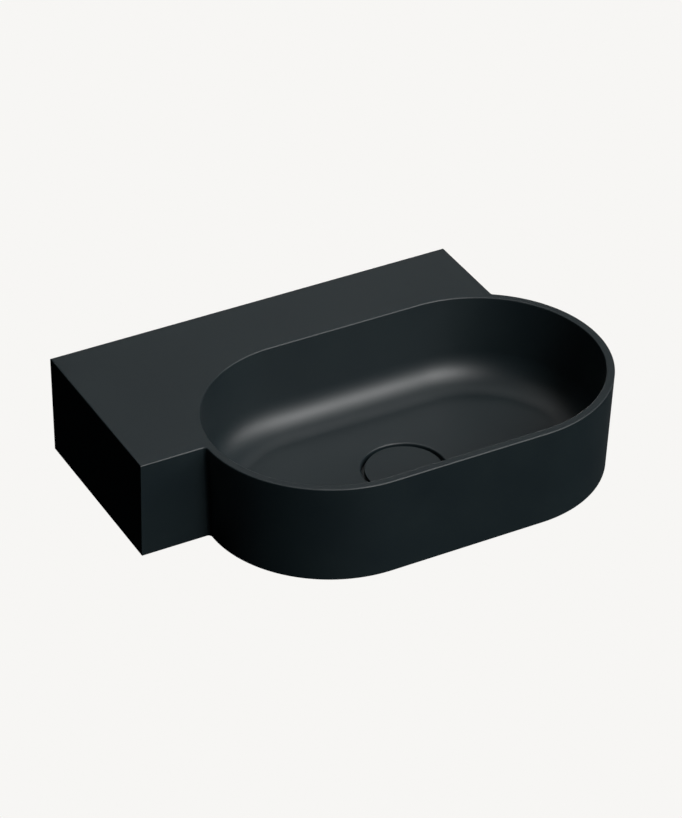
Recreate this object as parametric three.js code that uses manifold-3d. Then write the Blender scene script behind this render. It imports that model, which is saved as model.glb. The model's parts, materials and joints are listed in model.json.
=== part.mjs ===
// A wall-hung washbasin cast in mineral composite: a rectangular shelf with a stadium-shaped bowl that
// stands out in front of it and past its right end. A push-open waste with a cover of the same composite
// closes the drain, and two hanger bolts hold the basin on the wall.
//
// Millimetres, +Z up. The origin is on the wall plane, midway between the two hanger bolts. +X runs along
// the wall to the right as seen from the room, and -Y points out of the wall into the room.

import * as THREE from "three";
import { mergeVertices } from "three/addons/utils/BufferGeometryUtils.js";
import Module from "manifold-3d";

const wasm = await Module();
wasm.setup();

// ---- Driving dimensions ------------------------------------------------------------------------------

// Outside of the basin.
const OVERALL_LENGTH = 600;
const SHELF_LENGTH = 532;
const SHELF_DEPTH = 250;
const HEIGHT = 130;
const BOWL_RADIUS = 159;
const BOWL_HALF_STRAIGHT = 100;
const DRAFT = THREE.MathUtils.degToRad(2.5);
const CORNER_FILLET = 4.5;
const EDGE_ROUND = 1.5;

// Inside of the bowl.
const RIM_WIDTH = 10;
const INNER_DRAFT = THREE.MathUtils.degToRad(3);
const FLOOR_FILLET = 42;
const FLOOR_EDGE_HEIGHT = 16.8;
const FLOOR_DRAIN_HEIGHT = 15.4;

// Drain recess in the bowl's floor.
const RECESS_RADIUS = 51.5;
const RECESS_LIP = 2;
const RECESS_FLOOR_HEIGHT = 6;
const DRAIN_HOLE_RADIUS = 23;

// Hollow underneath the shelf.
const SHELF_TOP_THICKNESS = 14;
const WALL_THICKNESS = 12;
const BACK_THICKNESS = 15;
const RIB_THICKNESS = 8;
const RIB_CLEARANCE = 25;

// Wall fixing.
const BOLT_SPACING = 280;
const BOLT_HEIGHT = 70;
const BOLT_RADIUS = 5;
const BOLT_HOLE_RADIUS = 7.5;
const BOSS_RADIUS = 22;
const BOSS_THICKNESS = 6;

// Waste.
const WASTE_THREAD_RADIUS = 20.9;
const WASTE_BORE_RADIUS = 19;
const WASTE_FLANGE_RADIUS = 33;
const WASTE_END = -62;
const COVER_RADIUS = 47.3;
const COVER_THICKNESS = 5;
const COVER_TOP = 14.3;

const BOTTOM = -BOLT_HEIGHT;
const LEFT = -OVERALL_LENGTH / 2;
const SHELF_RIGHT = LEFT + SHELF_LENGTH;
const BOWL_X = OVERALL_LENGTH / 2 - BOWL_RADIUS - BOWL_HALF_STRAIGHT;
const BOWL_Y = -SHELF_DEPTH;

// ---- Solids ------------------------------------------------------------------------------------------

// A geometry with its triangles turned to face outwards.
function facingOut(geometry) {
  const p = geometry.attributes.position;
  const index = geometry.index.array;
  const [a, b, c] = [new THREE.Vector3(), new THREE.Vector3(), new THREE.Vector3()];
  let volume = 0;
  for (let i = 0; i < index.length; i += 3) {
    a.fromBufferAttribute(p, index[i]);
    b.fromBufferAttribute(p, index[i + 1]);
    c.fromBufferAttribute(p, index[i + 2]);
    volume += a.dot(b.cross(c));
  }
  if (volume < 0) index.reverse();
  return geometry;
}

// A geometry reduced to its merged positions, as one closed shell.
function closed(geometry) {
  const bare = geometry.index ? geometry.toNonIndexed() : geometry.clone();
  bare.deleteAttribute("normal");
  bare.deleteAttribute("uv");
  return facingOut(mergeVertices(bare, 1e-4));
}

function toSolid(geometry) {
  const shell = closed(geometry);
  const vertProperties = new Float32Array(shell.attributes.position.array);
  const triVerts = new Uint32Array(shell.index.array);
  return new wasm.Manifold(new wasm.Mesh({ numProp: 3, vertProperties, triVerts }));
}

function toGeometry(solid) {
  const { vertProperties, triVerts } = solid.getMesh();
  return new THREE.BufferGeometry()
    .setAttribute("position", new THREE.BufferAttribute(new Float32Array(vertProperties), 3))
    .setIndex(new THREE.BufferAttribute(new Uint32Array(triVerts), 1));
}

// Closed loops of the same number of points, joined one above the other and capped at both ends.
function loft(loops) {
  const n = loops[0].points.length;
  const positions = loops.flatMap(({ points, z }) => points.flatMap((p) => [p.x, p.y, z]));
  const index = [];
  for (let k = 0; k + 1 < loops.length; k++) {
    for (let i = 0; i < n; i++) {
      const [a, b] = [k * n + i, k * n + ((i + 1) % n)];
      index.push(a, b, b + n, a, b + n, a + n);
    }
  }
  const cap = (loop, from, flip) => {
    for (const [a, b, c] of THREE.ShapeUtils.triangulateShape(loop.points, [])) {
      index.push(from + (flip ? c : a), from + b, from + (flip ? a : c));
    }
  };
  cap(loops[0], 0, true);
  cap(loops.at(-1), (loops.length - 1) * n, false);
  return new THREE.BufferGeometry()
    .setAttribute("position", new THREE.Float32BufferAttribute(positions, 3))
    .setIndex(index);
}

// A profile of [radius, height] points turned about Z. It starts and ends on the axis, or is a ring's section.
function turned(profile, sides = 32) {
  const points = profile.map(([radius, height]) => new THREE.Vector2(radius, height));
  if (profile[0][0] > 0) points.push(points[0].clone());
  return closed(new THREE.LatheGeometry(points, sides).rotateX(Math.PI / 2));
}

function ring(inner, outer, low, high, sides) {
  return turned([[inner, low], [outer, low], [outer, high], [inner, high]], sides);
}

function disc(radius, low, high, sides) {
  return turned([[0, low], [radius, low], [radius, high], [0, high]], sides);
}

function box(x0, x1, y0, y1, z0, z1) {
  return new THREE.BoxGeometry(x1 - x0, y1 - y0, z1 - z0)
    .translate((x0 + x1) / 2, (y0 + y1) / 2, (z0 + z1) / 2);
}

// A hexagon nut by its width across flats, with a plain bore.
function hexNut(acrossFlats, boreRadius, low, high, sides = 24) {
  const hexagon = disc(acrossFlats / Math.sqrt(3), low, high, 6);
  const bore = disc(boreRadius, low - 1, high + 1, sides);
  return toGeometry(toSolid(hexagon).subtract(toSolid(bore)));
}

// ---- Outlines in plan --------------------------------------------------------------------------------

// Points of an arc from angle `from` to angle `to`, both ends included, angles in radians.
function arc(x, y, radius, from, to, steps) {
  return Array.from({ length: steps + 1 }, (_, i) => {
    const t = from + ((to - from) * i) / steps;
    return new THREE.Vector2(x + radius * Math.cos(t), y + radius * Math.sin(t));
  });
}

// The basin's outline, anticlockwise from its back left corner. The front and the bowl stand back by
// `setback` for the draft, and every side by `inset` for the rounded top edge.
function basinOutline(setback, inset) {
  const [left, right, back] = [LEFT + inset, SHELF_RIGHT - inset, -inset];
  const front = -SHELF_DEPTH + setback + inset;
  const radius = BOWL_RADIUS - setback - inset;
  const fillet = CORNER_FILLET + inset;
  const [bowlLeft, bowlRight] = [BOWL_X - BOWL_HALF_STRAIGHT, BOWL_X + BOWL_HALF_STRAIGHT];
  const reach = radius + fillet;
  // The fillet between the shelf's front and the bowl's left end.
  const frontY = front - fillet;
  const frontX = bowlLeft - Math.sqrt(reach ** 2 - (frontY - BOWL_Y) ** 2);
  const frontAngle = Math.atan2(BOWL_Y - frontY, bowlLeft - frontX);
  // The fillet between the bowl's right end and the shelf's right side.
  const sideX = right + fillet;
  const sideY = BOWL_Y + Math.sqrt(reach ** 2 - (sideX - bowlRight) ** 2);
  const sideAngle = Math.atan2(sideY - BOWL_Y, sideX - bowlRight);
  return [
    new THREE.Vector2(left, back),
    new THREE.Vector2(left, front),
    ...arc(frontX, frontY, fillet, Math.PI / 2, frontAngle, 4),
    ...arc(bowlLeft, BOWL_Y, radius, frontAngle + Math.PI, 1.5 * Math.PI, 20).slice(1),
    ...arc(bowlRight, BOWL_Y, radius, -0.5 * Math.PI, sideAngle, 32),
    ...arc(sideX, sideY, fillet, sideAngle + Math.PI, Math.PI, 3).slice(1),
    new THREE.Vector2(right, back),
  ];
}

// A stadium round the bowl's long axis, anticlockwise, with points along its straights too.
function stadium(radius, arcSteps = 28, straightSteps = 6) {
  const straight = (from, to, y) =>
    Array.from({ length: straightSteps - 1 }, (_, i) => {
      const share = (i + 1) / straightSteps;
      return new THREE.Vector2(BOWL_X + from + (to - from) * share, y);
    });
  const a = BOWL_HALF_STRAIGHT;
  return [
    ...arc(BOWL_X + a, BOWL_Y, radius, -Math.PI / 2, Math.PI / 2, arcSteps),
    ...straight(a, -a, BOWL_Y + radius),
    ...arc(BOWL_X - a, BOWL_Y, radius, Math.PI / 2, 1.5 * Math.PI, arcSteps),
    ...straight(-a, a, BOWL_Y - radius),
  ];
}

// A circle round the drain with one point on each ray from the drain to a point of the stadium.
function drainCircle(radius) {
  return stadium(BOWL_RADIUS - RIM_WIDTH).map((p) => {
    const angle = Math.atan2(p.y - BOWL_Y, p.x - BOWL_X);
    return new THREE.Vector2(BOWL_X + radius * Math.cos(angle), BOWL_Y + radius * Math.sin(angle));
  });
}

// ---- Basin -------------------------------------------------------------------------------------------

const setbackAt = (height) => (HEIGHT - height) * Math.tan(DRAFT);

function basinOutside() {
  const edge = [0, 1, 2, 3].map((k) => (k * Math.PI) / 6);
  return loft([
    { points: basinOutline(setbackAt(0), 0), z: BOTTOM },
    ...edge.map((t) => ({
      points: basinOutline(0, EDGE_ROUND * (1 - Math.cos(t))),
      z: BOTTOM + HEIGHT - EDGE_ROUND * (1 - Math.sin(t)),
    })),
  ]);
}

// The space inside the bowl, from below the drain hole to above the rim.
function bowlSpace() {
  const rim = BOWL_RADIUS - RIM_WIDTH;
  const wall = (height) => rim - (HEIGHT - height) * Math.tan(INNER_DRAFT);
  const circles = [
    [DRAIN_HOLE_RADIUS, -1],
    [DRAIN_HOLE_RADIUS, RECESS_FLOOR_HEIGHT],
    [RECESS_RADIUS, RECESS_FLOOR_HEIGHT],
    ...[0, 0.5, 1].map((share) => {
      const t = (share * Math.PI) / 2;
      const drop = RECESS_LIP * (1 - Math.sin(t));
      return [RECESS_RADIUS + RECESS_LIP * (1 - Math.cos(t)), FLOOR_DRAIN_HEIGHT - drop];
    }),
  ];
  // The fillet is an arc that leaves the floor level and meets the sloping wall.
  const filletTop = Math.PI / 2 - INNER_DRAFT;
  const centreHeight = FLOOR_EDGE_HEIGHT + FLOOR_FILLET;
  const topHeight = centreHeight - FLOOR_FILLET * Math.cos(filletTop);
  const centreRadius = wall(topHeight) - FLOOR_FILLET * Math.sin(filletTop);
  const fillet = Array.from({ length: 8 }, (_, i) => {
    const t = (filletTop * i) / 7;
    return [centreRadius + FLOOR_FILLET * Math.sin(t), centreHeight - FLOOR_FILLET * Math.cos(t)];
  });
  const rimEdge = [0, 1, 2, 3].map((k) => {
    const t = (k * Math.PI) / 6;
    return [rim + EDGE_ROUND * (1 - Math.cos(t)), HEIGHT - EDGE_ROUND * (1 - Math.sin(t))];
  });
  const stadiums = [...fillet, ...rimEdge, [rim + EDGE_ROUND, HEIGHT + 1]];
  return loft([
    ...circles.map(([radius, height]) => ({ points: drainCircle(radius), z: BOTTOM + height })),
    ...stadiums.map(([radius, height]) => ({ points: stadium(radius), z: BOTTOM + height })),
  ]);
}

// The space under the shelf, open below, around the bowl's own wall and between two ribs.
function shelfHollow() {
  const top = BOTTOM + HEIGHT - SHELF_TOP_THICKNESS;
  const front = -SHELF_DEPTH + setbackAt(0) + WALL_THICKNESS;
  const inner = [LEFT + WALL_THICKNESS, SHELF_RIGHT - WALL_THICKNESS];
  const space = box(...inner, front, -BACK_THICKNESS, BOTTOM - 1, top);
  const bowlWall = loft([
    { points: stadium(BOWL_RADIUS - setbackAt(-5)), z: BOTTOM - 5 },
    { points: stadium(BOWL_RADIUS), z: BOTTOM + HEIGHT },
  ]);
  const ribLow = BOTTOM + RIB_CLEARANCE;
  const half = RIB_THICKNESS / 2;
  const backRib = box(-half, half, BOWL_Y, 0, ribLow, top + 1);
  const ribY = -SHELF_DEPTH / 2;
  const sideRib = box(LEFT, BOWL_X, ribY - half, ribY + half, ribLow, top + 1);
  return toSolid(space).subtract(toSolid(bowlWall)).subtract(toSolid(backRib)).subtract(toSolid(sideRib));
}

// A cylinder through the back wall at each hanger bolt.
function atBolts(radius, from, to) {
  const cylinder = disc(radius, from, to, 32).rotateX(Math.PI / 2);
  return [-1, 1]
    .map((side) => toSolid(cylinder.clone().translate((side * BOLT_SPACING) / 2, 0, 0)))
    .reduce((a, b) => a.add(b));
}

function basin() {
  const shell = toSolid(basinOutside()).subtract(shelfHollow());
  const bosses = atBolts(BOSS_RADIUS, BACK_THICKNESS - 1, BACK_THICKNESS + BOSS_THICKNESS);
  return toGeometry(shell.add(bosses).subtract(atBolts(BOLT_HOLE_RADIUS, -1, 40)).subtract(toSolid(bowlSpace())));
}

// ---- Waste, with heights above the basin's underside ---------------------------------------------------

const PLUG_RADIUS = 18.4;
const STEM_RADIUS = 3;
const STEM_BORE = 3.2;
const HUB_BORE = 12.6;
const CARTRIDGE_BOTTOM = -52;

// Flanged tube with a threaded outside and a three-armed hub that holds the push cartridge.
function wasteBody() {
  const [bore, thread, rim] = [WASTE_BORE_RADIUS, WASTE_THREAD_RADIUS, WASTE_FLANGE_RADIUS];
  const tube = turned([
    [bore, WASTE_END], [thread, WASTE_END], [thread, 7], [rim - 1, 7],
    [rim, 7.6], [rim, 8.4], [rim - 0.8, 9], [bore + 1, 9], [bore, 8],
  ], 48);
  let body = toSolid(tube).add(toSolid(ring(HUB_BORE, HUB_BORE + 2.4, -26, -16)));
  for (let arm = 0; arm < 3; arm++) {
    const bar = box(HUB_BORE + 1, bore + 0.8, -2, 2, -26, -16).rotateZ((arm * 2 * Math.PI) / 3);
    body = body.add(toSolid(bar));
  }
  return toGeometry(body);
}

function flangeGasket() {
  return ring(22, 32.5, 6.15, 6.85, 36);
}

// Cone-topped rubber ring that centres the tube in the drain hole from below.
function underGasket() {
  return turned([[21.2, -5.4], [31, -5.4], [31, -0.3], [22.6, -0.3], [21.6, 4], [21.2, 4]], 36);
}

function slipWasher() {
  return ring(21.2, 30, -7.4, -5.6, 36);
}

function lockNut() {
  return hexNut(52, 21.1, -15.6, -7.6, 36);
}

// Cup screwed into the hub. Its narrow mouth keeps the plunger's collar in.
function cartridgeHousing() {
  return turned([
    [3, CARTRIDGE_BOTTOM], [12.3, CARTRIDGE_BOTTOM], [12.3, -15.8], [14.2, -15.8], [14.2, -13], [8.5, -13],
    [8.5, -16], [10.1, -16], [10.1, CARTRIDGE_BOTTOM + 2], [3, CARTRIDGE_BOTTOM + 2],
  ]);
}

function plunger() {
  return turned([
    [0, -43], [4.9, -43], [4.9, -34], [9.7, -34], [9.7, -30], [8, -30], [8, -2], [STEM_BORE, -2],
    [STEM_BORE, -20], [0, -20],
  ]);
}

// Indexing ring on the plunger's tail, with four lugs.
function camRing() {
  let body = toSolid(ring(5.2, 8.6, -39.4, -34.3));
  for (let lug = 0; lug < 4; lug++) {
    const key = box(8, 9.7, -1.2, 1.2, -38.4, -34.3).rotateZ((lug * Math.PI) / 2);
    body = body.add(toSolid(key));
  }
  return toGeometry(body);
}

class Helix extends THREE.Curve {
  constructor(radius, low, high, turns) {
    super();
    Object.assign(this, { radius, low, high, turns });
  }
  getPoint(t, target = new THREE.Vector3()) {
    const angle = 2 * Math.PI * this.turns * t;
    const height = this.low + (this.high - this.low) * t;
    return target.set(this.radius * Math.cos(angle), this.radius * Math.sin(angle), height);
  }
}

function cartridgeSpring() {
  const [wire, turns] = [0.55, 5];
  const path = new Helix(7.2, CARTRIDGE_BOTTOM + 2.8, -40.2, turns);
  const section = new THREE.Shape(arc(0, 0, wire, 0, 2 * Math.PI, 6).slice(0, -1));
  return new THREE.ExtrudeGeometry(section, { extrudePath: path, steps: turns * 14, bevelEnabled: false });
}

function plugStem() {
  const r = STEM_RADIUS;
  return turned([[0, -19], [r - 0.6, -19], [r, -18.4], [r, 11.4], [r - 0.6, 12], [0, 12]], 20);
}

function stemNut() {
  return hexNut(10, STEM_BORE, 1, 4);
}

// Disc that carries the cover, with a groove for the seal.
function plugDisc() {
  const [bore, edge, groove] = [STEM_BORE, PLUG_RADIUS, 16];
  return turned([
    [bore, 4.2], [edge - 0.8, 4.2], [edge, 4.8], [edge, 5.3], [groove, 5.3],
    [groove, 8.1], [edge, 8.1], [edge, 9], [bore, 9],
  ], 36);
}

// Torus in the disc's groove.
function plugSeal() {
  return new THREE.TorusGeometry(17.45, 1.25, 8, 36).translate(0, 0, 6.7);
}

function coverInsert() {
  return turned([[0, 12.8], [5, 12.8], [5, 9.5], [STEM_BORE, 9.5], [STEM_BORE, 12.3], [0, 12.3]], 20);
}

// Composite disc with a softened rim and a blind pocket for the insert underneath.
function drainCover() {
  const low = COVER_TOP - COVER_THICKNESS;
  const edge = 0.6;
  return turned([
    [0, COVER_TOP], [COVER_RADIUS - edge, COVER_TOP], [COVER_RADIUS, COVER_TOP - edge],
    [COVER_RADIUS, low + edge], [COVER_RADIUS - edge, low], [5.3, low], [5.3, 13.1], [0, 13.1],
  ], 64);
}

// ---- Wall fixing, with heights measured from the wall plane into the room ------------------------------

const BUSH_FLANGE = BACK_THICKNESS + BOSS_THICKNESS + 0.3;

function wallPlug() {
  return turned([[5.3, -0.3], [5.3, -62], [3, -70], [5.2, -70], [7, -66], [7, -0.3]], 20);
}

// Half wood screw, half machine screw, with a point.
function hangerBolt() {
  const r = BOLT_RADIUS;
  return turned([[0, -61], [2, -60], [r, -50], [r, 51], [r - 1, 52], [0, 52]], 20);
}

function boltBush() {
  const [bore, sleeve] = [5.3, BOLT_HOLE_RADIUS - 0.3];
  return turned([
    [bore, 0.4], [sleeve, 0.4], [sleeve, BUSH_FLANGE], [14, BUSH_FLANGE],
    [14, BUSH_FLANGE + 3], [bore, BUSH_FLANGE + 3],
  ], 24);
}

function boltWasher() {
  return ring(5.4, 12, BUSH_FLANGE + 3.3, BUSH_FLANGE + 5.3, 24);
}

function boltNut() {
  return hexNut(17, 5.3, BUSH_FLANGE + 5.6, BUSH_FLANGE + 13.6);
}

// Plastic cup over the nut and the bolt's end.
function nutCap() {
  const [low, high] = [BUSH_FLANGE + 5.6, BUSH_FLANGE + 35];
  return turned([
    [10.4, low], [11.8, low], [11.8, high - 4], [8, high], [0, high], [0, high - 2],
    [7.4, high - 2], [10.4, high - 5],
  ], 24);
}

// ---- Materials ---------------------------------------------------------------------------------------

const finish = (color, roughness, metalness) => new THREE.MeshStandardMaterial({ color, roughness, metalness });
const composite = finish(0x1f2528, 0.55, 0);
const chromedBrass = finish(0xc9cbcc, 0.12, 1);
const zincSteel = finish(0xb9bdbf, 0.35, 1);
const springSteel = finish(0xa8abad, 0.3, 1);
const rubber = finish(0x16181a, 0.8, 0);
const whiteNylon = finish(0xe6e6e2, 0.5, 0);
const greyNylon = finish(0x8d9194, 0.55, 0);
const blackPlastic = finish(0x1b1c1e, 0.45, 0);

// ---- Assembly ----------------------------------------------------------------------------------------

function piece(name, geometry, material) {
  const mesh = new THREE.Mesh(geometry, material);
  mesh.name = name;
  return mesh;
}

const washbasin = new THREE.Group();
washbasin.add(piece("basin", basin(), composite));

const waste = new THREE.Group();
waste.position.set(BOWL_X, BOWL_Y, BOTTOM);
waste.add(
  piece("waste_body", wasteBody(), chromedBrass),
  piece("flange_gasket", flangeGasket(), rubber),
  piece("under_gasket", underGasket(), rubber),
  piece("slip_washer", slipWasher(), whiteNylon),
  piece("lock_nut", lockNut(), chromedBrass),
  piece("cartridge_housing", cartridgeHousing(), greyNylon),
  piece("cartridge_spring", cartridgeSpring(), springSteel),
  piece("plunger", plunger(), whiteNylon),
  piece("cam_ring", camRing(), blackPlastic),
  piece("plug_stem", plugStem(), zincSteel),
  piece("stem_nut", stemNut(), zincSteel),
  piece("plug_disc", plugDisc(), chromedBrass),
  piece("plug_seal", plugSeal(), rubber),
  piece("cover_insert", coverInsert(), chromedBrass),
  piece("drain_cover", drainCover(), composite),
);
washbasin.add(waste);

for (const [side, sign] of [["left", -1], ["right", 1]]) {
  const fixing = new THREE.Group();
  fixing.position.set((sign * BOLT_SPACING) / 2, 0, 0);
  fixing.rotation.x = Math.PI / 2;
  fixing.add(
    piece(`${side}_wall_plug`, wallPlug(), greyNylon),
    piece(`${side}_hanger_bolt`, hangerBolt(), zincSteel),
    piece(`${side}_bolt_bush`, boltBush(), whiteNylon),
    piece(`${side}_bolt_washer`, boltWasher(), zincSteel),
    piece(`${side}_bolt_nut`, boltNut(), zincSteel),
    piece(`${side}_nut_cap`, nutCap(), whiteNylon),
  );
  washbasin.add(fixing);
}

export default washbasin;
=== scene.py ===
import json

import bmesh
import bpy
import numpy as np
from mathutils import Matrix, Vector
from mathutils.geometry import tessellate_polygon

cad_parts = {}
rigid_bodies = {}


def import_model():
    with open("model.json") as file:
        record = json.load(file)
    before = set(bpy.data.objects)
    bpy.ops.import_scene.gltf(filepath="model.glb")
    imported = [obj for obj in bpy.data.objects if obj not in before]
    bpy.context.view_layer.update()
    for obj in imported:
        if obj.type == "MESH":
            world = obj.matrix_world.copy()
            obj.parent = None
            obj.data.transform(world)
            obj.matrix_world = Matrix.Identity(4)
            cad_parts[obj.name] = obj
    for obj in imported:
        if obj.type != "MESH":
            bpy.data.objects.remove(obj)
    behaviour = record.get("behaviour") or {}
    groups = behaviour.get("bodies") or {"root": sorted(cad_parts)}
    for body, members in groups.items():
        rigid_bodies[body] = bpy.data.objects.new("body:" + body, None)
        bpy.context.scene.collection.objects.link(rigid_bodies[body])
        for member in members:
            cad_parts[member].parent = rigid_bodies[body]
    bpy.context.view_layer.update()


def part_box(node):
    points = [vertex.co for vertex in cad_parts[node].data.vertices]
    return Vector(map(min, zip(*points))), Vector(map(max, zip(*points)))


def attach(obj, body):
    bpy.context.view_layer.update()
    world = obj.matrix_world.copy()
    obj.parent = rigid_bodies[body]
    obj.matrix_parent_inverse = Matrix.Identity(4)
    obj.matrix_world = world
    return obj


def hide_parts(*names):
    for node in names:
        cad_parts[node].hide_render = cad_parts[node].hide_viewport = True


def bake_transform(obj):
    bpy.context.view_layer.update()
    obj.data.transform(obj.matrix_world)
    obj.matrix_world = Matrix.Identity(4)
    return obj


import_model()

# ---- Camera -----------------------------------------------------------------------------------------
# Stands to the left of the basin's front and looks down into the bowl through a long lens.

camera = bpy.data.objects.new("camera", bpy.data.cameras.new("camera"))
bpy.context.scene.collection.objects.link(camera)
bpy.context.scene.camera = camera
camera.location = (-1.6505, -3.2739, 2.3849)
camera.rotation_euler = (np.pi / 2 - 0.5971, -0.001, -0.4877)
camera.data.lens = 157.42
camera.data.sensor_width = 36

# ---- Basin ------------------------------------------------------------------------------------------
# One casting of mineral composite: a shelf that is hollow underneath, with a stadium-shaped bowl in
# front of it. It is poured in a polished mould, so its outside edges carry a small even radius, and
# its front and its bowl lean inwards towards the underside to leave the mould.

mm = 0.001
basin_low, basin_high = (np.array(corner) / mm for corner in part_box("basin"))
top, bottom = basin_high[2], basin_low[2]
height = top - bottom
shelf_left, shelf_right, shelf_front = basin_low[0], basin_low[0] + 532, -250
bowl_radius, bowl_straight = 159, 200
bowl_x, bowl_y = basin_high[0] - bowl_radius - bowl_straight / 2, shelf_front
bowl_left, bowl_right = bowl_x - bowl_straight / 2, bowl_x + bowl_straight / 2
front_setback, rim_width, shelf_fillet = 5.7, 10, 4.5
edge_round, foot_round, flat_margin = 1.5, 0.8, 0.4
floor_fillet, floor_height, drain_lip_height = 42, 16.8, 15.4
recess_radius, recess_height, recess_lip, drain_hole_radius = 51.5, 6, 2, 23


def arc(centre, radius, start, end, steps):
    """Points at centre + radius (cos t, sin t), with t running evenly from start to end in radians."""
    t = np.linspace(start, end, steps + 1)
    return np.array(centre) + radius * np.column_stack([np.cos(t), np.sin(t)])


def basin_outline(setback, inset):
    """The basin from above, anticlockwise: the shelf's back, left and front, then an arc, a straight and
    an arc round the bowl, with a concave arc where each end of the bowl leaves the shelf. Front and bowl
    stand back by setback for the mould's draft, and every side by inset."""
    left, right = shelf_left + inset, shelf_right - inset
    front = shelf_front + setback + inset
    radius, fillet = bowl_radius - setback - inset, shelf_fillet + inset
    near_y, far_x = front - fillet, right + fillet
    near_x = bowl_left - np.sqrt((radius + fillet) ** 2 - (near_y - bowl_y) ** 2)
    far_y = bowl_y + np.sqrt((radius + fillet) ** 2 - (far_x - bowl_right) ** 2)
    near_angle = np.arctan2(bowl_y - near_y, bowl_left - near_x)
    far_angle = np.arctan2(far_y - bowl_y, far_x - bowl_right)
    return np.vstack([
        [[left, -inset], [left, front]],
        arc((near_x, near_y), fillet, np.pi / 2, near_angle, 10),
        arc((bowl_left, bowl_y), radius, near_angle + np.pi, 1.5 * np.pi, 60)[1:],
        arc((bowl_right, bowl_y), radius, -np.pi / 2, far_angle, 96),
        arc((far_x, far_y), fillet, far_angle + np.pi, np.pi, 8)[1:],
        [[right, -inset]],
    ])


def stadium(radius):
    """Two half circles of one radius about the ends of the bowl's long axis, joined by straights."""
    across = np.linspace(-1, 1, 17)[1:-1] * bowl_straight / 2
    return np.vstack([
        arc((bowl_right, bowl_y), radius, -np.pi / 2, np.pi / 2, 90),
        np.column_stack([bowl_x - across, np.full(15, bowl_y + radius)]),
        arc((bowl_left, bowl_y), radius, np.pi / 2, 1.5 * np.pi, 90),
        np.column_stack([bowl_x + across, np.full(15, bowl_y - radius)]),
    ])


def drain_circle(radius):
    """A circle round the drain, each of its points on the ray towards one point of the stadium."""
    ray = stadium(bowl_radius) - (bowl_x, bowl_y)
    return (bowl_x, bowl_y) + radius * ray / np.linalg.norm(ray, axis=1)[:, None]


def rounded_edge(steps=6):
    """Rows (1 - cos t, 1 - sin t): how far an edge's arc, of radius 1, stands in from the wall and down
    from the flat, as t goes from the wall, 0, to the flat, a quarter turn."""
    t = np.linspace(0, np.pi / 2, steps + 1)
    return np.column_stack([1 - np.cos(t), 1 - np.sin(t)])


def at_height(outline, z):
    return np.column_stack([outline, np.full(len(outline), z)])


def skin(rings):
    """Quads between rings of equal length: point i of a ring, the next point, and the two above them."""
    count, size = rings.shape[:2]
    here = np.arange(count - 1)[:, None] * size + np.arange(size)
    ahead = np.arange(count - 1)[:, None] * size + np.roll(np.arange(size), -1)
    return np.stack([here, ahead, ahead + size, here + size], axis=-1).reshape(-1, 4)


def new_piece(name, points, faces):
    """An object at the origin with these points, in millimetres. Coincident points are made one, and the
    faces are turned to look out of the closed body."""
    shape = bpy.data.meshes.new(name)
    shape.from_pydata((np.asarray(points) * mm).tolist(), [], [list(map(int, face)) for face in faces])
    welded = bmesh.new()
    welded.from_mesh(shape)
    bmesh.ops.remove_doubles(welded, verts=welded.verts, dist=0.001 * mm)
    bmesh.ops.recalc_face_normals(welded, faces=welded.faces)
    welded.to_mesh(shape)
    piece = bpy.data.objects.new(name, shape)
    bpy.context.scene.collection.objects.link(piece)
    return piece


def lofted(name, rings):
    """A closed solid: the skin over the rings, from the lowest to the highest, and a flat end on each."""
    rings = np.stack(rings)
    size = rings.shape[1]
    ends = [np.arange(size)[::-1], np.arange(size) + (len(rings) - 1) * size]
    return new_piece(name, rings.reshape(-1, 3), [*skin(rings), *ends])


def combine(piece, other, operation):
    """Joins a closed solid to another, or cuts it away, and keeps the result in the first."""
    step = piece.modifiers.new("combine", "BOOLEAN")
    step.object, step.operation, step.solver = other, operation, "MANIFOLD"
    graph = bpy.context.evaluated_depsgraph_get()
    shape = bpy.data.meshes.new_from_object(piece.evaluated_get(graph))
    piece.modifiers.clear()
    piece.data = shape
    bpy.data.objects.remove(other)


def bowl_section():
    """Radius and height of the bowl's rings, from the floor's edge up over the rim's inner edge. An arc
    leaves the floor level and meets a wall that leans out by 3 degrees, and a small arc ends the wall."""
    lean = np.radians(3)
    rim = bowl_radius - rim_width
    centre_height = floor_height + floor_fillet
    wall_foot = rim - (height - centre_height + floor_fillet * np.sin(lean)) * np.tan(lean)
    t = np.linspace(0, np.pi / 2 - lean, 25)
    fillet = np.column_stack([wall_foot + floor_fillet * (np.sin(t) - np.cos(lean)),
                              centre_height - floor_fillet * np.cos(t)])
    wall = np.linspace(fillet[-1], (rim, height - edge_round), 8)[1:-1]
    edge = (rim, height) + edge_round * rounded_edge() * (1, -1)
    return np.vstack([fillet, wall, edge, [(rim + edge_round + flat_margin, height)]])


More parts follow.
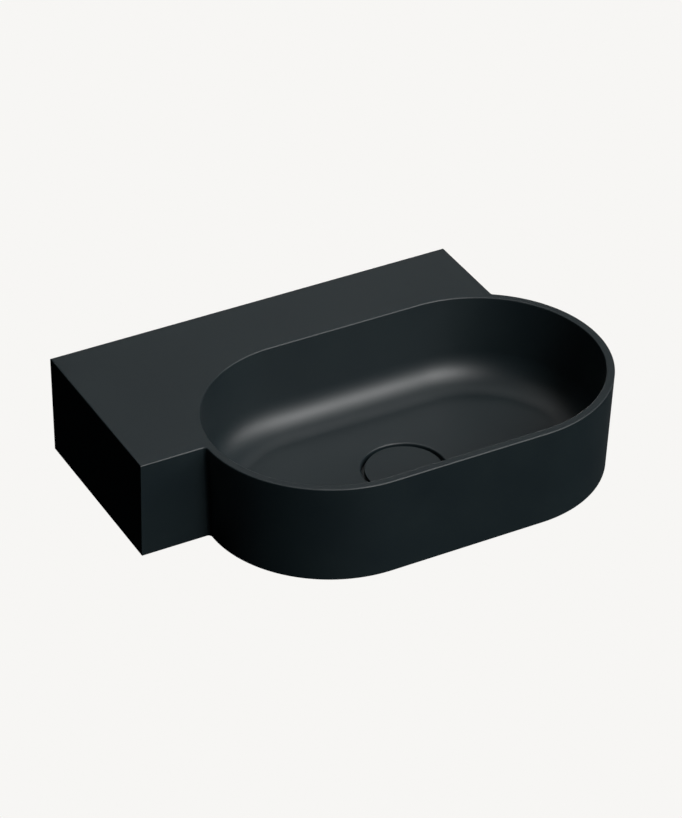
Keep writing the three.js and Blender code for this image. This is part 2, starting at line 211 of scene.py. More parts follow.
def basin_shell():
    """The basin before it is hollowed: outside, top, bowl, recess, drain hole and underside in one skin.
    Top and underside are flats with a hole, filled between the basin's outline and the bowl's."""
    rise = np.linspace(foot_round, height - edge_round, 5)
    setback = front_setback * (1 - rise / height)
    foot, edge = foot_round * rounded_edge(4)[::-1], edge_round * rounded_edge()
    outside = [at_height(basin_outline(front_setback, foot_round + flat_margin), bottom)]
    outside += [at_height(basin_outline(front_setback, inset), bottom + z) for inset, z in foot]
    outside += [at_height(basin_outline(s, 0), bottom + z) for s, z in zip(setback[1:-1], rise[1:-1])]
    outside += [at_height(basin_outline(0, inset), top - drop) for inset, drop in edge]
    outside += [at_height(basin_outline(0, edge_round + flat_margin), top)]
    lip = (recess_radius, drain_lip_height) + recess_lip * rounded_edge() * (1, -1)
    well = [(drain_hole_radius, 0), (drain_hole_radius, recess_height), (recess_radius, recess_height), *lip]
    inside = [at_height(drain_circle(r), bottom + z) for r, z in well]
    section = bowl_section()
    share = np.linspace(0, 1, 13)[1:-1]
    slope = drain_lip_height + (floor_height - drain_lip_height) * np.sin(share * np.pi / 2)
    lip_edge, floor_edge = drain_circle(recess_radius + recess_lip), stadium(section[0, 0])
    inside += [at_height(lip_edge + (floor_edge - lip_edge) * s, bottom + z) for s, z in zip(share, slope)]
    inside += [at_height(stadium(r), bottom + z) for r, z in section]
    outer, inner = np.stack(outside), np.stack(inside)[:, ::-1]
    points = np.vstack([outer.reshape(-1, 3), inner.reshape(-1, 3)])
    faces = [*skin(outer), *(skin(inner) + outer[..., 0].size)]
    for level in (-1, 0):
        index = np.concatenate([np.arange(outer[..., 0].size).reshape(outer.shape[:2])[level],
                                np.arange(inner[..., 0].size).reshape(inner.shape[:2])[level]
                                + outer[..., 0].size])
        flat = tessellate_polygon([outer[level].tolist(), inner[level].tolist()])
        faces += [index[list(triangle)] for triangle in flat]
    return new_piece("basin_casting", points, faces)


def rounded_rectangle(sides, corner, inset):
    """Four quarter arcs about fixed centres, joined by straights. All sides stand in by inset."""
    x0, x1, y0, y1 = np.array(sides) + corner * np.array([1, -1, 1, -1])
    turns = [(x1, y0, -np.pi / 2), (x1, y1, 0), (x0, y1, np.pi / 2), (x0, y0, np.pi)]
    return np.vstack([arc((x, y), corner - inset, t, t + np.pi / 2, 8) for x, y, t in turns])


def mouth_and_cove(mouth, cove, roof):
    """Rows (inset, height) of a wall that opens out in a quarter turn of radius mouth at the underside,
    and closes in with another, of radius cove, under a roof."""
    flare, curl = mouth * rounded_edge() * (-1, 1), cove * rounded_edge(8) * (1, -1)
    return np.vstack([[(-mouth, -2)], flare[::-1], (0, roof) + curl])


def softened(profile, radius, steps=4):
    """Rounds each corner of a closed profile of (r, z) rows. The corner C gives way to the curve
    (1 - t)^2 A + 2 t (1 - t) C + t^2 B, where A and B lie radius before and after it, or less where its
    sides are short. A point just outside A and B keeps the sides flat, and corners on the axis stay."""
    corner = np.asarray(profile, float)
    radius = np.broadcast_to(radius, len(corner)) * (corner[:, 0] > 0)
    before, after = np.roll(corner, 1, axis=0) - corner, np.roll(corner, -1, axis=0) - corner
    before_length, after_length = np.linalg.norm(before, axis=1), np.linalg.norm(after, axis=1)
    reach = np.minimum(radius, 0.4 * np.minimum(before_length, after_length))[:, None]
    a, b = before / before_length[:, None] * reach, after / after_length[:, None] * reach
    t = np.linspace(0, 1, steps + 1)[None, :, None]
    curve = corner[:, None] + (1 - t) ** 2 * a[:, None] + t ** 2 * b[:, None]
    enter, leave = (corner + 1.15 * a)[:, None], (corner + 1.15 * b)[:, None]
    return np.concatenate([enter, curve, leave], axis=1).reshape(-1, 2)


def turned(name, profile, origin, axes=np.eye(3), sides=96, pitch=1, across_flats=None):
    """A closed profile of (r, z) rows turned about an axis: r (cos a, sin a) beside z. A third number w
    in a row cuts a thread there, r - w g(z / pitch - a / 2 pi), where g is a ridge with a flattened crest
    and root. With across_flats, r is held to the six flats of a hexagon."""
    rows = np.asarray(profile, float)
    rows = (np.vstack([rows, rows[:1]]) if rows[0, 0] > 0 else rows)[:, :, None]
    angle = np.arange(sides) * 2 * np.pi / sides
    radius, along = np.broadcast_to(rows[:, 0], (len(rows), sides)), rows[:, 1]
    if rows.shape[1] > 2:
        saw = np.abs(2 * np.mod(along / pitch - angle / (2 * np.pi), 1) - 1)
        radius = radius - rows[:, 2] * np.clip(1.3 * saw - 0.15, 0, 1)
    if across_flats:
        face = np.mod(angle + np.pi / 6, np.pi / 3) - np.pi / 6
        radius = np.minimum(radius, across_flats / 2 / np.cos(face))
    local = np.stack([radius * np.cos(angle), radius * np.sin(angle), along + 0 * angle], axis=-1)
    points = local @ np.asarray(axes, float) + np.asarray(origin, float)
    return smoothed(new_piece(name, points.reshape(-1, 3), skin(points)))


def smoothed(piece, angle=40):
    """Shades a piece smooth, except over edges that turn by more than the angle, in degrees."""
    piece.data.shade_smooth()
    piece.data.set_sharp_from_angle(angle=np.radians(angle))
    return piece


out_of_wall = [(1, 0, 0), (0, 0, 1), (0, -1, 0)]
bolt_places = [("left", (-140, 0, 0)), ("right", (140, 0, 0))]


def hollow_shelf(casting):
    """Cuts away the room under the shelf, which is a rounded rectangle less the bowl's own wall, adds
    the two ribs and the seats of the two bolts, and bores the seats through the back."""
    slab, wall_thickness, back_thickness, rib_height = 14, 12, 15, 25
    roof = height - slab
    sides = (shelf_left + wall_thickness, shelf_right - wall_thickness,
             shelf_front + front_setback + wall_thickness, -back_thickness)
    rows = mouth_and_cove(1.2, 5, roof)
    room = lofted("room", [at_height(rounded_rectangle(sides, 9, inset), bottom + z) for inset, z in rows])
    wall = bowl_radius - front_setback * (1 - rows[:, 1] / height)
    drum = [at_height(stadium(r + inset), bottom + z) for (inset, z), r in zip(rows, wall)]
    combine(room, lofted("bowl_wall", [*drum, drum[-1] + (0, 0, 3)]), "DIFFERENCE")
    combine(casting, room, "DIFFERENCE")
    for rib in ((-4, 4, -98, -5), (shelf_left + 5, bowl_left - 90, -129, -121)):
        edge = (0, rib_height) + 3 * rounded_edge()[::-1]
        rings = [at_height(rounded_rectangle(rib, 3.5, inset), bottom + z) for inset, z in edge]
        combine(casting, lofted("rib", [*rings, rings[-1] + (0, 0, roof - rib_height)]), "UNION")
    seat_radius, seat_face, bolt_hole = 22, 21, 7.5
    for _, place in bolt_places:
        base = (seat_radius + 4, back_thickness) + 4 * rounded_edge() * (-1, 1)
        seat = [(0, 8), (seat_radius + 4, 8), *base[::-1], (seat_radius, seat_face - 1),
                (seat_radius - 1, seat_face), (0, seat_face)]
        combine(casting, turned("seat", seat, place, out_of_wall), "UNION")
        bore = [(0, -3), (9, -3), (8.7, 0), (bolt_hole, 1), (bolt_hole, seat_face - 0.6),
                (8.1, seat_face), (8.1, seat_face + 3), (0, seat_face + 3)]
        combine(casting, turned("bore", bore, place, out_of_wall), "DIFFERENCE")


def linear(code):
    """An sRGB hex colour as linear red, green, blue and alpha."""
    srgb = np.array([int(code[i:i + 2], 16) for i in (0, 2, 4)]) / 255
    return (*np.where(srgb <= 0.04045, srgb / 12.92, ((srgb + 0.055) / 1.055) ** 2.4), 1)


def add(material, kind, sockets, **settings):
    """Adds a shader node. Settings are its properties, and sockets its inputs by name or number: a value
    is set, and another node's output is linked."""
    tree = material.node_tree
    node = tree.nodes.new("ShaderNode" + kind)
    for name, value in settings.items():
        setattr(node, name, value)
    for name, value in sockets.items():
        if isinstance(value, bpy.types.NodeSocket):
            tree.links.new(value, node.inputs[name])
        else:
            node.inputs[name].default_value = value
    return node


def blank_material(name):
    material = bpy.data.materials.new(name)
    material.use_nodes = True
    material.node_tree.nodes.clear()
    return material, add(material, "TexCoord", {}).outputs["Object"]


def finish_piece(piece, node, material, body):
    """Gives a piece its material alone, and stands it in for its CAD node on the body that carries it."""
    piece.data.materials.clear()
    piece.data.materials.append(material)
    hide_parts(node)
    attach(piece, body)


# Matte gel coat on cast mineral composite: polyester filled with stone flour and dyed through, moulded
# smooth and rubbed down. The eye gets a blue-black with a broad soft sheen, a faint cloudiness from the
# pour in clouds about 70 mm across, and a very fine even tooth, drawn at 0.6 mm.
composite, place = blank_material("matte_black_gel_coat_on_cast_mineral_composite")
cloud = add(composite, "TexNoise", {"Vector": place, "Scale": 14, "Detail": 3, "Roughness": 0.5})
tooth = add(composite, "TexNoise", {"Vector": place, "Scale": 1700, "Detail": 2, "Roughness": 0.6})
tint = add(composite, "ValToRGB", {"Fac": cloud.outputs["Fac"]})
tint.color_ramp.elements[0].position, tint.color_ramp.elements[1].position = 0.3, 0.7
tint.color_ramp.elements[0].color, tint.color_ramp.elements[1].color = linear("0a1519"), linear("0d181b")
sheen = add(composite, "MapRange", {"Value": cloud.outputs["Fac"], "To Min": 0.46, "To Max": 0.52})
relief = add(composite, "Bump", {"Height": tooth.outputs["Fac"], "Strength": 0.12, "Distance": 0.00004})
coat = add(composite, "BsdfPrincipled", {"Base Color": tint.outputs["Color"], "IOR": 1.5,
           "Roughness": sheen.outputs["Result"], "Normal": relief.outputs["Normal"]})
add(composite, "OutputMaterial", {"Surface": coat.outputs["BSDF"]})

basin = basin_shell()
hollow_shelf(basin)
smoothed(basin)
weights = basin.modifiers.new("flat_faces_stay_flat", "WEIGHTED_NORMAL")
weights.keep_sharp = True
finish_piece(basin, "basin", composite, "basin")

# ---- Drain cover ------------------------------------------------------------------------------------
# A disc of the same composite, cast in its own mould, which hides the waste and sits just under the
# level of the bowl's floor. Its rim is eased, and its underside has a pocket for a brass insert.


def reach(node):
    """Underside, top and radius of a round piece of the waste, above the basin's underside, in mm."""
    low, high = (np.array(corner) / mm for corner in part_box(node))
    return low[2] - bottom, high[2] - bottom, (high[1] - low[1]) / 2


drain = (bowl_x, bowl_y, bottom)
low, high, radius = reach("drain_cover")
pocket, pocket_roof = 5.3, 13.1
profile = [(0, pocket_roof), (pocket, pocket_roof), (pocket, low), (radius, low), (radius, high), (0, high)]
cover = turned("cover_disc", softened(profile, [0, 0.1, 0.4, 0.9, 0.9, 0], 6), drain, sides=192)
finish_piece(cover, "drain_cover", composite, "plug")

# ---- Waste body -------------------------------------------------------------------------------------
# A flanged tube turned from brass and chromed, with a G1 1/4 thread outside. Three arms carry a hub in
# its bore, and the push cartridge screws into the hub. The flange clamps the recess's floor from above.


def threaded(rows, radius, start, end, pitch, depth):
    """Gives the wall at that radius eight rows for each turn of a thread, and every row a third number,
    the thread's depth there: depth min(1, (z - start) / pitch, (end - z) / pitch), and 0 off the wall."""
    z = np.arange(start, end, pitch / 8)
    cut = depth * np.clip(np.minimum(z - start, end - z) / pitch, 0, 1)
    rows, ahead = np.column_stack([rows, np.zeros(len(rows))]), np.roll(rows, -1, axis=0)
    wall = np.abs(rows[:, 0] - radius) + np.abs(ahead[:, 0] - radius) < 0.001
    spans = np.minimum(rows[:, 1], ahead[:, 1]) < (start + end) / 2
    spans &= np.maximum(rows[:, 1], ahead[:, 1]) > (start + end) / 2
    i = np.flatnonzero(wall & spans)[0]
    turns = np.column_stack([np.full(len(z), radius), z, cut])
    return np.vstack([rows[:i + 1], turns if ahead[i, 1] > rows[i, 1] else turns[::-1], rows[i + 1:]])


def spoke(name, sides, corner, levels, turn):
    """A block beside the drain's axis, at a turn about it in radians: a rounded rectangle carried up
    through rows (inset, height)."""
    across = np.array([[np.cos(turn), np.sin(turn)], [-np.sin(turn), np.cos(turn)]])
    rings = [at_height(rounded_rectangle(sides, corner, inset) @ across, z) for inset, z in levels]
    return lofted(name, np.stack(rings) + drain)


# Bright chrome over nickel on polished brass: a cool mirror, a little broken by wiping and water marks,
# which are about 8 mm across.
chrome, place = blank_material("bright_chrome_on_turned_brass")
marks = add(chrome, "TexNoise", {"Vector": place, "Scale": 120, "Detail": 4, "Roughness": 0.6})
polish = add(chrome, "MapRange", {"Value": marks.outputs["Fac"], "To Min": 0.06, "To Max": 0.16})
bright = add(chrome, "ValToRGB", {"Fac": marks.outputs["Fac"]})
bright.color_ramp.elements[0].color, bright.color_ramp.elements[1].color = linear("d2d6d9"), linear("dfe2e3")
plate = add(chrome, "BsdfPrincipled", {"Base Color": bright.outputs["Color"], "Metallic": 1.0,
            "Roughness": polish.outputs["Result"]})
add(chrome, "OutputMaterial", {"Surface": plate.outputs["BSDF"]})

low, high, flange_radius = reach("waste_body")
bore, thread, flange_seat, pipe_pitch = 19, 20.9, 7, 2.309
profile = [(bore, low), (thread, low), (thread, flange_seat), (flange_radius, flange_seat),
           (flange_radius, high), (bore, high)]
rows = softened(profile, [0.4, 0.4, 0.2, 0.7, 0.7, 1.2])
rows = threaded(rows, thread, low + 1.5, flange_seat - 2, pipe_pitch, 1.1)
waste_body = turned("waste_tube", rows, drain, sides=144, pitch=pipe_pitch)
hub_bore, hub, hub_foot, hub_top = 12.6, 15, -26, -16
ring = softened([(hub_bore, hub_foot), (hub, hub_foot), (hub, hub_top), (hub_bore, hub_top)], 0.4)
combine(waste_body, turned("hub", ring, drain), "UNION")
arm_start, arm_end, arm_half_width = 13.6, 19.8, 2
arm = (arm_start, arm_end, -arm_half_width, arm_half_width)
edge = 0.7 * rounded_edge(4)
levels = [(inset, hub_foot + z) for inset, z in edge[::-1]] + [(inset, hub_top - z) for inset, z in edge]
for turn in np.arange(3) * 2 * np.pi / 3:
    combine(waste_body, spoke("arm", arm, 0.9, levels, turn), "UNION")
smoothed(waste_body)
finish_piece(waste_body, "waste_body", chrome, "basin")

# ---- Waste gaskets and washer -----------------------------------------------------------------------
# A flat EPDM ring under the flange, an EPDM cone that centres the tube in the drain hole from below,
# and a nylon washer that lets the nut turn without dragging the cone round.

# EPDM rubber from a compression mould: charcoal black with a paler bloom in patches about 11 mm across,
# and the dull grain of the mould, drawn at 0.4 mm.
rubber, place = blank_material("compression_moulded_epdm_rubber")
grain = add(rubber, "TexNoise", {"Vector": place, "Scale": 2500, "Detail": 2})
bloom = add(rubber, "TexNoise", {"Vector": place, "Scale": 90, "Detail": 3})
shade = add(rubber, "ValToRGB", {"Fac": bloom.outputs["Fac"]})
shade.color_ramp.elements[0].color, shade.color_ramp.elements[1].color = linear("151617"), linear("1f2021")
relief = add(rubber, "Bump", {"Height": grain.outputs["Fac"], "Strength": 0.3, "Distance": 0.00008})
body = add(rubber, "BsdfPrincipled", {"Base Color": shade.outputs["Color"], "Roughness": 0.72, "IOR": 1.5,
           "Normal": relief.outputs["Normal"]})
add(rubber, "OutputMaterial", {"Surface": body.outputs["BSDF"]})


def moulded_nylon(name, dark, light):
    """Injection-moulded nylon in two close tones: flow marks 20 mm long, and a spark-eroded mould's fine
    texture, drawn at 0.5 mm, that keeps the sheen broad."""
    nylon, place = blank_material(name)
    flow = add(nylon, "TexNoise", {"Vector": place, "Scale": 50, "Detail": 2})
    spark = add(nylon, "TexNoise", {"Vector": place, "Scale": 2000, "Detail": 2})
    tone = add(nylon, "ValToRGB", {"Fac": flow.outputs["Fac"]})
    tone.color_ramp.elements[0].color, tone.color_ramp.elements[1].color = linear(dark), linear(light)
    relief = add(nylon, "Bump", {"Height": spark.outputs["Fac"], "Strength": 0.2, "Distance": 0.00005})
    skin_coat = add(nylon, "BsdfPrincipled", {"Base Color": tone.outputs["Color"], "Roughness": 0.45,
                    "IOR": 1.53, "Normal": relief.outputs["Normal"]})
    add(nylon, "OutputMaterial", {"Surface": skin_coat.outputs["BSDF"]})
    return nylon


white_nylon = moulded_nylon("injection_moulded_white_nylon", "c6c5be", "d2d1cb")

low, high, radius = reach("flange_gasket")
bore = 22
profile = [(bore, low), (radius, low), (radius, high), (bore, high)]
flat_ring = turned("flange_seal", softened(profile, 0.25), drain)
finish_piece(flat_ring, "flange_gasket", rubber, "basin")

low, high, radius = reach("under_gasket")
bore, shoulder = 21.2, -0.3
profile = [(bore, low), (radius, low), (radius, shoulder), (22.6, shoulder), (21.6, high), (bore, high)]
cone = turned("cone_seal", softened(profile, [0.4, 1, 1, 0.5, 0.15, 0.15]), drain)
finish_piece(cone, "under_gasket", rubber, "basin")

low, high, radius = reach("slip_washer")
profile = [(bore, low), (radius, low), (radius, high), (bore, high)]
washer = turned("nylon_washer", softened(profile, 0.5), drain)
finish_piece(washer, "slip_washer", white_nylon, "basin")

# ---- Lock nut ---------------------------------------------------------------------------------------
# A thin hexagon turned from brass bar, chamfered on both faces and chromed. It runs up the waste's
# thread from below, and pulls the flange down on its gasket.


def hexagon_nut(name, bore, across_flats, low, high, origin, axes=np.eye(3)):
    """A nut turned from hexagon bar: both faces chamfered at 30 degrees and the bore countersunk."""
    corner = across_flats / 2 / np.cos(np.pi / 6)
    face = 0.47 * across_flats
    bevel = (corner - face) * np.tan(np.pi / 6)
    profile = [(bore, low + 0.6), (bore + 0.6, low), (face, low), (corner + 0.2, low + bevel),
               (corner + 0.2, high - bevel), (face, high), (bore + 0.6, high), (bore, high - 0.6)]
    return turned(name, softened(profile, 0.15), origin, axes, 144, across_flats=across_flats)


low, high, _ = reach("lock_nut")
nut = hexagon_nut("brass_nut", 21.1, 52, low, high, drain)
finish_piece(nut, "lock_nut", chrome, "basin")

# ---- Push cartridge ---------------------------------------------------------------------------------
# An acetal cup that screws into the waste's hub. A spring in it pushes up the cam ring and the plunger.
# Each push on the cover turns the ring by an eighth of a turn, which latches the plug up or down.

grey_nylon = moulded_nylon("injection_moulded_grey_nylon", "8a8e90", "999c9d")
black_acetal = moulded_nylon("injection_moulded_black_acetal", "191a1b", "222324")

low, high, radius = reach("cartridge_housing")
drip_hole, cup_radius, cup_bore, neck_bore = 3, 12.3, 10.1, 8.5
collar_seat, neck_foot, base = -15.8, -16, 2
profile = [(drip_hole, low), (cup_radius, low), (cup_radius, collar_seat), (radius, collar_seat),
           (radius, high), (neck_bore, high), (neck_bore, neck_foot), (cup_bore, neck_foot),
           (cup_bore, low + base), (drip_hole, low + base)]
cup = turned("cartridge_cup", softened(profile, [0.3, 0.8, 0.3, 0.5, 0.8, 0.5, 0.3, 0.3, 0.5, 0.3]), drain)
finish_piece(cup, "cartridge_housing", grey_nylon, "basin")

low, high, _ = reach("plunger")
tail, collar, shank, stem_hole = 4.9, 9.7, 8, 3.2
collar_foot, collar_top, hole_depth = -34, -30, -20
profile = [(0, low), (tail, low), (tail, collar_foot), (collar, collar_foot), (collar, collar_top),
           (shank, collar_top), (shank, high), (stem_hole, high), (stem_hole, hole_depth), (0, hole_depth)]
push_rod = turned("push_rod", softened(profile, [0, 0.8, 0.4, 0.5, 0.5, 0.5, 0.6, 0.4, 0.2, 0]), drain)
finish_piece(push_rod, "plunger", white_nylon, "plug")

low, high, lug_radius = reach("cam_ring")
bore, radius, lug_half_width = 5.2, 8.6, 1.2
profile = [(bore, low), (radius, low), (radius, high), (bore, high)]
cam = turned("indexing_cam", softened(profile, 0.3), drain)
lug = (8, lug_radius, -lug_half_width, lug_half_width)
levels = [(0.3, low + 1), (0, low + 1.3), (0, high - 0.3), (0.3, high)]
for turn in np.arange(4) * np.pi / 2:
    combine(cam, spoke("lug", lug, 0.5, levels, turn), "UNION")
smoothed(cam)
finish_piece(cam, "cam_ring", black_acetal, "cam")

# Hard-drawn spring wire, oiled: grey steel with draw marks along the wire, drawn 0.3 mm apart.
wire_steel, place = blank_material("hard_drawn_spring_steel")
draw = add(wire_steel, "TexNoise", {"Vector": place, "Scale": 3000, "Detail": 2})
smooth = add(wire_steel, "MapRange", {"Value": draw.outputs["Fac"], "To Min": 0.25, "To Max": 0.42})
steel = add(wire_steel, "BsdfPrincipled", {"Base Color": linear("a4a7aa"), "Metallic": 1.0,
            "Roughness": smooth.outputs["Result"]})
add(wire_steel, "OutputMaterial", {"Surface": steel.outputs["BSDF"]})


def coil_spring(name, radius, wire, low, high, turns):
    """Wire round the helix R (cos a, sin a), whose height follows 3 s^2 - 2 s^3 so that the end turns lie
    flat. The wire's section is a circle in the plane of the helix's radius and the axis, and its radius
    falls away as a half circle at both ends."""
    s = np.linspace(0, 1, turns * 36 + 1)
    angle, climb = 2 * np.pi * turns * s, 3 * s ** 2 - 2 * s ** 3
    end = np.clip(np.minimum(s, 1 - s) * len(s) / 3, 0, 1)
    thick = wire * np.sqrt(1 - (1 - end) ** 2)
    around = np.arange(12) * np.pi / 6
    out = radius + thick[:, None] * np.cos(around)
    z = (low + wire + (high - low - 2 * wire) * climb)[:, None] - thick[:, None] * np.sin(around)
    points = np.stack([out * np.cos(angle)[:, None], out * np.sin(angle)[:, None], z], axis=-1)
    return smoothed(new_piece(name, (points + drain).reshape(-1, 3), skin(points)), 80)


low, high, _ = reach("cartridge_spring")
spring = coil_spring("return_spring", 7.2, 0.55, low, high, 5)
spring.data.materials.append(wire_steel)
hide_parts("cartridge_spring")
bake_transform(spring)

# ---- Plug -------------------------------------------------------------------------------------------
# A chromed disc with a rubber seal closes the waste's bore. A threaded stem joins it to the plunger
# below and to a brass insert in the cover above, and a nut locks the disc on the stem.

# Zinc plate, passivated blue: a satin grey-white metal with a bluish and yellowish cast in patches
# about 6 mm across.
zinc, place = blank_material("blue_passivated_zinc_on_steel")
cast = add(zinc, "TexNoise", {"Vector": place, "Scale": 160, "Detail": 3})
film = add(zinc, "ValToRGB", {"Fac": cast.outputs["Fac"]})
film.color_ramp.elements[0].position, film.color_ramp.elements[1].position = 0.35, 0.65
film.color_ramp.elements[0].color, film.color_ramp.elements[1].color = linear("a9b0b8"), linear("bab8b0")
satin = add(zinc, "MapRange", {"Value": cast.outputs["Fac"], "To Min": 0.28, "To Max": 0.4})
coat = add(zinc, "BsdfPrincipled", {"Base Color": film.outputs["Color"], "Metallic": 1.0,
           "Roughness": satin.outputs["Result"]})
add(zinc, "OutputMaterial", {"Surface": coat.outputs["BSDF"]})

low, high, radius = reach("plug_stem")
rows = softened([(0, low), (radius, low), (radius, high), (0, high)], [0, 0.5, 0.5, 0])
stem = turned("threaded_stem", threaded(rows, radius, low + 0.8, high - 0.8, 1, 0.5), drain, sides=48)
finish_piece(stem, "plug_stem", zinc, "plug")

low, high, _ = reach("stem_nut")
thin_nut = hexagon_nut("thin_nut", 3.2, 10, low, high, drain)
finish_piece(thin_nut, "stem_nut", zinc, "plug")

low, high, radius = reach("plug_disc")
stem_hole, groove, groove_foot, groove_top = 3.2, 16, 5.3, 8.1
profile = [(stem_hole, low), (radius, low), (radius, groove_foot), (groove, groove_foot),
           (groove, groove_top), (radius, groove_top), (radius, high), (stem_hole, high)]
disc = turned("seal_carrier", softened(profile, [0.2, 0.8, 0.2, 0.3, 0.3, 0.2, 0.4, 0.2]), drain)
finish_piece(disc, "plug_disc", chrome, "plug")

low, high, radius = reach("plug_seal")
around = np.arange(24) * np.pi / 12
tube = (high - low) / 2
section = np.column_stack([radius - tube + tube * np.cos(around), (low + high) / 2 + tube * np.sin(around)])
finish_piece(turned("bore_seal", section, drain), "plug_seal", rubber, "plug")

low, high, radius = reach("cover_insert")
hole_roof = 12.3
profile = [(0, hole_roof), (stem_hole, hole_roof), (stem_hole, low), (radius, low), (radius, high),
           (0, high)]
insert = turned("threaded_insert", softened(profile, [0, 0.1, 0.3, 0.3, 0.3, 0]), drain, sides=48)
finish_piece(insert, "cover_insert", chrome, "plug")

# ---- Wall fixing ------------------------------------------------------------------------------------
# Twice the same set: a nylon plug in the wall, a hanger bolt with a wood thread in the plug and an M10
# thread in the room, a nylon bush that keeps steel off the casting, a washer, a nut and a push-on cap.


def span(node):
    """Near and far ends of a fixing piece, out from the wall, and its radius, in mm."""
    low, high = (np.array(corner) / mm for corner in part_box(node))
    return -high[1], -low[1], (high[0] - low[0]) / 2


for side, place in bolt_places:
    near, far, radius = span(f"{side}_wall_plug")
    tip_bore, tip, bore, tooth_root, tooth_pitch, tooth_flank = 3, 5, 5.3, 6, 6, 5.9
    teeth = []
    for z in np.arange(near + 18, far - 8, tooth_pitch):
        teeth += [(radius, z), (tooth_root, z + 1), (radius, z + tooth_flank)]
    profile = [(tip_bore, near), (tip, near), *teeth, (radius, far), (bore, far), (bore, near + 8)]
    shell = turned(f"{side}_plug", softened(profile, 0.25), place, out_of_wall)
    for wide, deep in ((0.8, 9), (9, 0.8)):
        outline = rounded_rectangle((-wide, wide, -deep, deep), 0.5, 0)
        rings = [at_height(outline, z) for z in (near - 1, near + 40)]
        combine(shell, lofted("slot", np.stack(rings) @ np.array(out_of_wall) + place), "DIFFERENCE")
    smoothed(shell)
    finish_piece(shell, f"{side}_wall_plug", grey_nylon, "basin")

    near, far, radius = span(f"{side}_hanger_bolt")
    screw_pitch, point_length = 1.5, 11
    profile = [(0, near), (1.2, near + 0.4), (radius, near + point_length), (radius, far), (0, far)]
    rows = softened(profile, [0, 0.3, 2, 0.8, 0])
    rows = threaded(rows, radius, 6, far - 1, screw_pitch, 0.85)
    bolt = turned(f"{side}_stud", rows, place, out_of_wall, 48, screw_pitch)
    finish_piece(bolt, f"{side}_hanger_bolt", zinc, "basin")

    near, far, radius = span(f"{side}_bolt_bush")
    bore, sleeve, flange = 5.3, 7.2, 3
    profile = [(bore, near), (sleeve, near), (sleeve, far - flange), (radius, far - flange), (radius, far),
               (bore, far)]
    bush = turned(f"{side}_bush", softened(profile, [0.3, 0.4, 0.3, 0.8, 0.8, 0.3]), place, out_of_wall)
    finish_piece(bush, f"{side}_bolt_bush", white_nylon, "basin")

    near, far, radius = span(f"{side}_bolt_washer")
    bore = 5.4
    profile = softened([(bore, near), (radius, near), (radius, far), (bore, far)], 0.25)
    washer = turned(f"{side}_washer", profile, place, out_of_wall)
    finish_piece(washer, f"{side}_bolt_washer", zinc, "basin")

    near, far, _ = span(f"{side}_bolt_nut")
    nut = hexagon_nut(f"{side}_nut", 5.3, 17, near, far, place, out_of_wall)
    finish_piece(nut, f"{side}_bolt_nut", zinc, "basin")

    near, far, radius = span(f"{side}_nut_cap")
    wall, bore = 2, 10.4
    profile = [(0, far - wall), (bore - 3, far - wall), (bore, far - wall - 3), (bore, near), (radius, near),
               (radius, far - 4), (8, far), (0, far)]
    cap = turned(f"{side}_cap", softened(profile, [0, 1, 1, 0.3, 0.3, 2, 2, 0]), place, out_of_wall)
    finish_piece(cap, f"{side}_nut_cap", white_nylon, "basin")

# ---- Studio -----------------------------------------------------------------------------------------
# A pale floor and backdrop of one even tone, which light nothing themselves, and soft lights far off to
# the front, right, back and top. From the left there is only a faint one, high up, so the faces that
# look that way stay nearly black.

bpy.context.scene.view_settings.view_transform = "Standard"

backdrop_tone = linear("f7f6f4")
world = bpy.data.worlds.new("backdrop")
bpy.context.scene.world = world
world.use_nodes = True
world.node_tree.nodes["Background"].inputs["Color"].default_value = backdrop_tone
for ray in ("diffuse", "glossy", "transmission", "scatter"):
    setattr(world.cycles_visibility, ray, False)

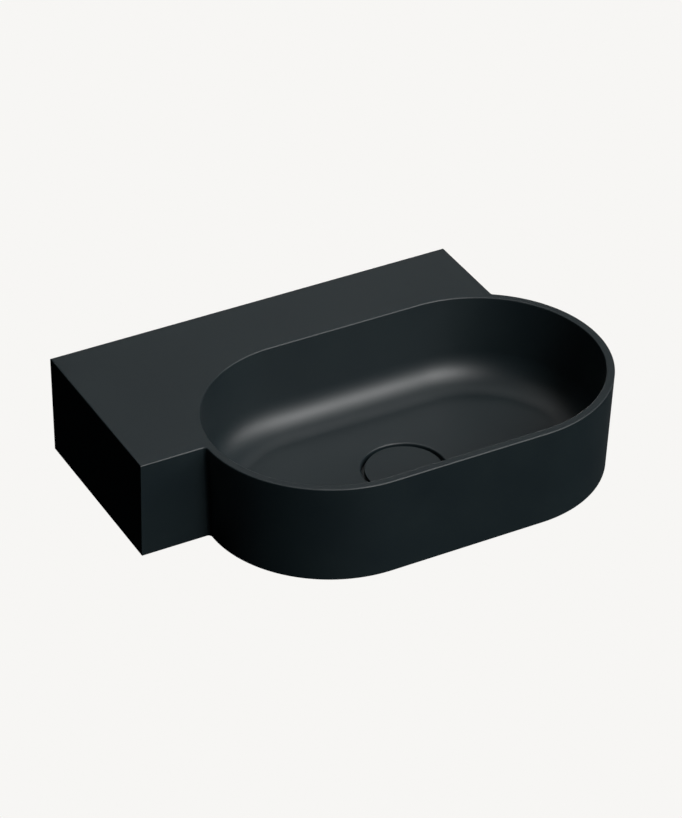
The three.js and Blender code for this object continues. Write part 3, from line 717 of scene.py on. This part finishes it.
paper, _ = blank_material("evenly_lit_pale_paper")
glow = add(paper, "Emission", {"Color": backdrop_tone, "Strength": 1.0})
add(paper, "OutputMaterial", {"Surface": glow.outputs["Emission"]})
reach_out, floor_level = 8, -0.79
corners = np.array([(-1, -1), (1, -1), (1, 1), (-1, 1)]) * reach_out
corners = at_height(corners, floor_level)
sheet = bpy.data.meshes.new("floor")
sheet.from_pydata(corners.tolist(), [], [(0, 1, 2, 3)])
floor = bpy.data.objects.new("floor", sheet)
bpy.context.scene.collection.objects.link(floor)
floor.data.materials.append(paper)
floor.visible_diffuse = floor.visible_glossy = floor.visible_transmission = floor.visible_shadow = False


def hang(name, kind, energy, way):
    """A lamp whose light comes along the vector way, towards the scene from that side."""
    lamp = bpy.data.objects.new(name, bpy.data.lights.new(name, kind))
    lamp.data.energy = energy
    lamp.rotation_euler = Vector(way).to_track_quat("Z", "Y").to_euler()
    bpy.context.scene.collection.objects.link(lamp)
    return lamp


# Soft lights far off, by bearing (0 in front, 90 at the right) and elevation in degrees, and strength.
# The key's light line lies along the fillet at the back of the bowl. The back light is below the shelf.
lights = [("key", 12, 42, 2.7), ("key_side", 35, 35, 0.7), ("right", 55, 25, 0.9),
          ("right_low", 100, -5, 0.3), ("front_low", 10, 10, 0.3), ("high_front", 25, 60, 0.3),
          ("top", 140, 70, 0.8), ("top_back", 195, 65, 0.25), ("top_left", 250, 60, 0.15),
          ("back", 160, -5, 1.0)]
for name, bearing, elevation, strength in lights:
    around, up = np.radians(bearing), np.radians(elevation)
    way = (np.cos(up) * np.sin(around), -np.cos(up) * np.cos(around), np.sin(up))
    hang(name, "SUN", strength, way).data.angle = np.radians(20)

# A small soft panel close behind the shelf, whose sheen fades along the shelf's top.
panel = hang("panel", "AREA", 0.2, (0.45, 0.8, 0.55))
panel.data.shape, panel.data.size = "DISK", 0.5
panel.location = (0.55, 0.75, 0.65)
panel.visible_camera = False

# A pale dome all round that only the fittings see, so that chrome and zinc have something to mirror.
fittings = bpy.data.collections.new("fittings")
for piece in bpy.context.scene.objects:
    if piece.type == "MESH" and piece not in (basin, cover, floor):
        fittings.objects.link(piece)
for name, up in (("dome_below", -1), ("dome_above", 1)):
    dome = hang(name, "SUN", 1.0, (0, -0.2, up))
    dome.data.angle = np.radians(178)
    dome.light_linking.receiver_collection = fittings
